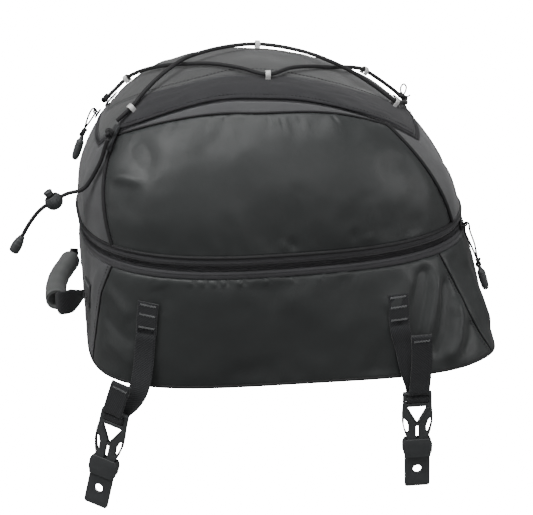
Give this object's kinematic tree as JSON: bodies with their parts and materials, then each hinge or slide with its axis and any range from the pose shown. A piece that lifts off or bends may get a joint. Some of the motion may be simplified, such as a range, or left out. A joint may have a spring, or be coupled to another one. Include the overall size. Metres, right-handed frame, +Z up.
{
  "type": "motorcycle tail bag",
  "caption": "Soft expandable motorcycle tail bag with a zipped lid laced with elastic cord, a side grab handle and buckled mounting straps.",
  "frame": {"origin": "middle of the flat underside of the base panel", "axes": "+Z up, -Y towards the laminated front with the mounting straps, +X to the right as seen from the front"},
  "size_m": [0.4896, 0.3287, 0.4239],
  "materials": {
    "laminate": "satin laminated fabric",
    "matte_fabric": "matte ripstop",
    "dark_fabric": "matte woven",
    "black_trim": "braided and coil trim",
    "webbing": "ribbed webbing",
    "plastic": "moulded acetal",
    "grip_rubber": "soft grip",
    "reflective": "reflective tape",
    "foam": "closed-cell foam",
    "zinc": "blackened"
  },
  "bodies": {
    "base": {"base_panel": "dark_fabric", "base_board": "foam", "base_binding": "black_trim", "lower_front_panel": "laminate", "lower_right_panel": "matte_fabric", "lower_rear_panel": "matte_fabric", "lower_left_panel": "matte_fabric", "expansion_tape_lower": "dark_fabric", "expansion_coil_lower": "black_trim", "expansion_gusset": "dark_fabric", "handle_patch_front": "webbing", "handle_patch_rear": "webbing", "strap_right_anchor": "webbing", "strap_left_anchor": "webbing"},
    "upper": {"expansion_coil_upper": "black_trim", "expansion_tape_upper": "dark_fabric", "upper_front_panel": "laminate", "upper_lens_strip": "matte_fabric", "upper_right_panel": "matte_fabric", "upper_rear_panel": "matte_fabric", "upper_left_panel": "matte_fabric", "upper_left_piping": "black_trim", "upper_right_piping": "black_trim", "lid_zip_lower": "black_trim"},
    "lid": {"lid_zip_upper": "black_trim", "lid_skirt": "dark_fabric", "lid_crown": "matte_fabric", "lid_rear_panel": "dark_fabric", "lid_foam": "foam", "bungee_cord": "black_trim", "bungee_tail": "black_trim", "cord_end": "plastic", "bungee_tab_left": "webbing", "bungee_tab_right": "webbing", "bungee_tab_tail": "webbing", "loop_mid_left": "reflective", "loop_front_centre": "reflective", "loop_mid_right": "reflective", "loop_front_right": "reflective", "loop_rear_centre": "reflective", "loop_front_left": "reflective"},
    "lid_slider": {"lid_slider": "zinc"},
    "lid_pull": {"lid_pull_cord": "black_trim", "lid_pull_tip": "plastic"},
    "expansion_slider": {"expansion_slider": "zinc"},
    "expansion_pull": {"expansion_pull_cord": "black_trim", "expansion_pull_tip": "plastic"},
    "cord_lock": {"cord_lock_body": "plastic"},
    "lock_button": {"cord_lock_plunger": "plastic"},
    "handle": {"handle_grip": "grip_rubber", "handle_webbing_front": "webbing", "handle_webbing_rear": "webbing"},
    "strap_right": {"strap_right_webbing": "webbing", "strap_right_tail": "webbing"},
    "buckle_right": {"buckle_right_male": "plastic"},
    "bracket_right": {"buckle_right_bracket": "plastic"},
    "strap_left": {"strap_left_webbing": "webbing", "strap_left_tail": "webbing"},
    "buckle_left": {"buckle_left_male": "plastic"},
    "bracket_left": {"buckle_left_bracket": "plastic"}
  },
  "joints": [
    {"name": "expansion_lift", "type": "slide", "parent": "base", "child": "upper", "axis": [0, 0, 1], "range_m": [0, 0.045], "deforming": ["expansion_gusset"]},
    {"name": "lid_hinge", "type": "hinge", "parent": "upper", "child": "lid", "pos_m": [0, 0.1186, 0.2178], "axis": [-1, 0, 0], "range_deg": [0, 100]},
    {"name": "expansion_slider_run", "type": "hinge", "parent": "base", "child": "expansion_slider", "pos_m": [0.0477, -0.0101, 0.122], "axis": [0, 0, 1], "range_deg": [0, 26]},
    {"name": "expansion_pull_swing", "type": "hinge", "parent": "expansion_slider", "child": "expansion_pull", "pos_m": [0.195, -0.0601, 0.1234], "axis": [-0.35, -0.9368, 0], "range_deg": [0, 110]},
    {"name": "lid_slider_run", "type": "hinge", "parent": "lid", "child": "lid_slider", "pos_m": [0.13804, -0.00289, 0.216], "axis": [0, 0, 1], "range_deg": [0, 14]},
    {"name": "lid_pull_swing", "type": "hinge", "parent": "lid_slider", "child": "lid_pull", "pos_m": [-0.17695, 0.03855, 0.22044], "axis": [0.1563, 0.9877, 0], "range_deg": [0, 110]},
    {"name": "cord_lock_slide", "type": "slide", "parent": "lid", "child": "cord_lock", "axis": [-0.8615, 0, -0.5077], "range_m": [-0.005, 0.005]},
    {"name": "lock_button_press", "type": "slide", "parent": "cord_lock", "child": "lock_button", "axis": [0.5077, 0, -0.8615], "range_m": [0, 0.004], "stiffness_N_per_m": 300, "springref_m": -0.004},
    {"name": "handle_swing", "type": "hinge", "parent": "base", "child": "handle", "pos_m": [-0.1902, -0.072, 0.066], "axis": [-0.0959, 0.9954, 0], "range_deg": [-30, 30]},
    {"name": "strap_right_swing", "type": "hinge", "parent": "base", "child": "strap_right", "pos_m": [0.1175, -0.1449, 0.0517], "axis": [-0.978, -0.2086, 0], "range_deg": [0, 90]},
    {"name": "buckle_right_pivot", "type": "hinge", "parent": "strap_right", "child": "buckle_right", "pos_m": [0.1345, -0.157, -0.02], "axis": [0.9994, 0, 0.0349], "range_deg": [-60, 60]},
    {"name": "buckle_right_release", "type": "slide", "parent": "buckle_right", "child": "bracket_right", "axis": [0.0349, 0, -0.9994], "range_m": [0, 0.04]},
    {"name": "strap_left_swing", "type": "hinge", "parent": "base", "child": "strap_left", "pos_m": [-0.1302, -0.1492, 0.0534], "axis": [-0.9232, 0.3843, 0], "range_deg": [0, 90]},
    {"name": "buckle_left_pivot", "type": "hinge", "parent": "strap_left", "child": "buckle_left", "pos_m": [-0.162, -0.163, -0.027], "axis": [0.8831, -0.4226, -0.2039], "range_deg": [-60, 60]},
    {"name": "buckle_left_release", "type": "slide", "parent": "buckle_left", "child": "bracket_left", "axis": [-0.225, 0, -0.9744], "range_m": [0, 0.04]}
  ]
}
